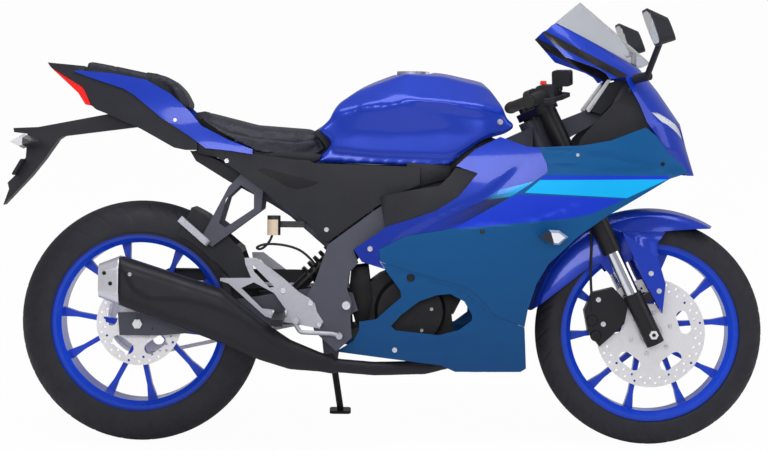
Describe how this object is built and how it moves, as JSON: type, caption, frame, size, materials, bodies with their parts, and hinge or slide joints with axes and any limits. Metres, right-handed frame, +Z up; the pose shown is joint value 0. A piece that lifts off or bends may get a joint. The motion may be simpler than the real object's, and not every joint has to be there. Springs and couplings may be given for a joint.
{
  "type": "sport motorcycle",
  "caption": "Light sport bike with a full fairing, leaning on its side stand, with turning wheels and steering.",
  "frame": {"origin": "on the ground, under the middle of the parked bike's bounding box", "axes": "+X towards the front wheel, +Y towards the rider's left, the side the bike leans to, +Z up"},
  "size_m": [1.9848, 0.749, 1.1602],
  "materials": {
    "tyre_black": "matt",
    "rim_blue": "gloss",
    "body_blue": "gloss",
    "body_teal": "matt",
    "black_plastic": "matt",
    "black_metal": "satin",
    "frame_grey": "satin",
    "cast_silver": "cast",
    "engine_black": "cast",
    "disc_steel": "brushed",
    "tube_chrome": "polished",
    "cap_alloy": "brushed",
    "seat_cover": "grained",
    "lamp_red": "gloss",
    "lamp_clear": "clear",
    "screen_clear": "clear",
    "grip_rubber": "ribbed",
    "amber_plastic": "translucent"
  },
  "bodies": {
    "chassis": {"chain": "disc_steel", "dash": "black_plastic", "engine": "engine_black", "engine_covers": "engine_black", "exhaust": "black_metal", "footrest_brackets": "cast_silver", "frame_main": "frame_grey", "front_signals": "black_plastic", "fuel_tank": "body_blue", "headlamps": "lamp_clear", "inner_cowls": "black_plastic", "lower_fairings": "body_teal", "mid_panels": "body_blue", "mirrors": "black_plastic", "muffler_cap": "cap_alloy", "pillion_seat": "seat_cover", "plate_arm": "black_plastic", "radiator": "black_metal", "rear_axle": "disc_steel", "rear_caliper": "black_metal", "rear_mudguards": "black_plastic", "rear_reservoir": "amber_plastic", "rear_signals": "black_plastic", "rider_seat": "seat_cover", "shock": "black_metal", "side_fairings": "body_teal", "subframe": "frame_grey", "swingarm": "frame_grey", "tail_cowl": "black_plastic", "tail_light": "lamp_red", "tail_panels": "body_blue", "undertray": "black_plastic", "upper_cowl": "body_blue", "waist_covers": "black_plastic", "windscreen": "screen_clear"},
    "steering": {"triple_clamp": "black_metal", "fork_outer_tubes": "black_metal", "fork_inner_tubes": "tube_chrome", "fork_castings": "black_metal", "front_axle": "disc_steel", "front_fender": "body_blue", "front_caliper": "black_metal", "clip_ons": "black_metal", "grips": "grip_rubber", "switchgear": "black_plastic", "levers": "black_metal"},
    "front_wheel": {"front_tyre": "tyre_black", "front_rim": "rim_blue", "front_brake_disc": "disc_steel"},
    "rear_wheel": {"rear_tyre": "tyre_black", "rear_rim": "rim_blue", "rear_brake_disc": "disc_steel", "rear_sprocket": "disc_steel"},
    "side_stand": {"side_stand": "black_metal"},
    "fuel_lid": {"fuel_lid": "cast_silver"},
    "passenger_peg_right": {"passenger_peg_right": "cast_silver"},
    "passenger_peg_left": {"passenger_peg_left": "cast_silver"},
    "rider_peg_right": {"rider_peg_right": "black_metal"},
    "rider_peg_left": {"rider_peg_left": "black_metal"}
  },
  "joints": [
    {"name": "steering", "type": "hinge", "parent": "chassis", "child": "steering", "pos_m": [0.65326, -0.12268, 0.27107], "axis": [-0.4305, 0.1567, 0.8889], "range_deg": [-32, 32]},
    {"name": "front_wheel_spin", "type": "hinge", "parent": "steering", "child": "front_wheel", "pos_m": [0.69655, -0.11909, 0.29141], "axis": [0, 0.9848, -0.1736], "continuous": true},
    {"name": "rear_wheel_spin", "type": "hinge", "parent": "chassis", "child": "rear_wheel", "pos_m": [-0.62845, -0.11597, 0.30913], "axis": [0, 0.9848, -0.1736], "continuous": true},
    {"name": "side_stand_fold", "type": "hinge", "parent": "chassis", "child": "side_stand", "pos_m": [-0.13545, 0.02095, 0.18152], "axis": [0.1589, 0.9181, 0.363], "range_deg": [0, 100]},
    {"name": "fuel_lid_hinge", "type": "hinge", "parent": "chassis", "child": "fuel_lid", "pos_m": [0.11555, -0.0025, 0.95261], "axis": [0, 0.9848, -0.1736], "range_deg": [0, 90]},
    {"name": "passenger_peg_right_fold", "type": "hinge", "parent": "chassis", "child": "passenger_peg_right", "pos_m": [-0.45345, -0.19239, 0.53798], "axis": [0.6559, 0.1311, 0.7434], "range_deg": [0, 90]},
    {"name": "passenger_peg_left_fold", "type": "hinge", "parent": "chassis", "child": "passenger_peg_left", "pos_m": [-0.45345, 0.03412, 0.49804], "axis": [-0.6559, -0.1311, -0.7434], "range_deg": [0, 90]},
    {"name": "rider_peg_right_fold", "type": "hinge", "parent": "chassis", "child": "rider_peg_right", "pos_m": [-0.26145, -0.26385, 0.36882], "axis": [-1, 0, 0], "range_deg": [0, 45]},
    {"name": "rider_peg_left_fold", "type": "hinge", "parent": "chassis", "child": "rider_peg_left", "pos_m": [-0.26145, 0.04341, 0.31464], "axis": [1, 0, 0], "range_deg": [0, 45]}
  ]
}
